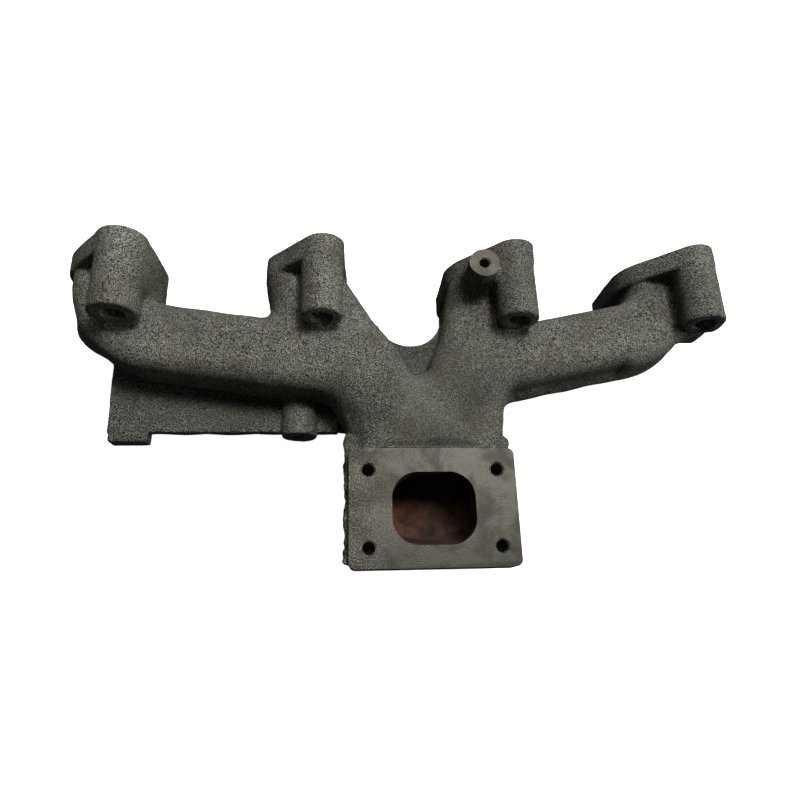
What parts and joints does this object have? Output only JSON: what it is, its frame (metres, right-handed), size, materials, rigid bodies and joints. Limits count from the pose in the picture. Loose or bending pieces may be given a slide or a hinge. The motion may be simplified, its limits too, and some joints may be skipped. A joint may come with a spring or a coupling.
{
  "type": "exhaust manifold",
  "caption": "Cast-iron exhaust manifold: port flanges and runners feed a central neck with a rectangular turbocharger flange.",
  "frame": {"origin": "centre of the turbo flange's bolt pattern, on its machined face", "axes": "+Z leaves the turbo flange face, +X runs along the engine from port 1 to port 4, +Y points into the cylinder head"},
  "size_m": [0.45, 0.21, 0.0995],
  "materials": {
    "cast_skin": "rough sand-cast skin, dark grey-green",
    "machined_iron": "milled face, oiled, blotchy grey",
    "bracket_casting": "rough sand-cast skin, darker"
  },
  "bodies": {
    "root": {"turbo_flange": "machined_iron", "turbo_elbow_left": "cast_skin", "turbo_elbow_right": "cast_skin", "neck": "cast_skin", "collector_left": "cast_skin", "collector_centre": "cast_skin", "collector_right": "cast_skin", "throat_2": "cast_skin", "throat_3": "cast_skin", "elbow_1": "cast_skin", "elbow_1_port": "cast_skin", "runner_1": "cast_skin", "port_tube_2": "cast_skin", "port_tube_3": "cast_skin", "runner_4": "cast_skin", "elbow_4": "cast_skin", "elbow_4_port": "cast_skin", "port_flange_1": "cast_skin", "port_flange_2": "cast_skin", "port_flange_3": "cast_skin", "port_flange_4": "cast_skin", "bolt_column_1": "cast_skin", "bolt_column_2": "cast_skin", "bolt_column_3": "cast_skin", "bolt_column_4": "cast_skin", "column_lug_4": "cast_skin", "gusset_web": "bracket_casting", "sensor_boss": "machined_iron", "bracket_plate": "bracket_casting", "bracket_foot": "bracket_casting", "bracket_boss": "bracket_casting", "bracket_ear": "bracket_casting", "bracket_web": "bracket_casting", "flange_shoulder": "cast_skin"}
  },
  "joints": []
}
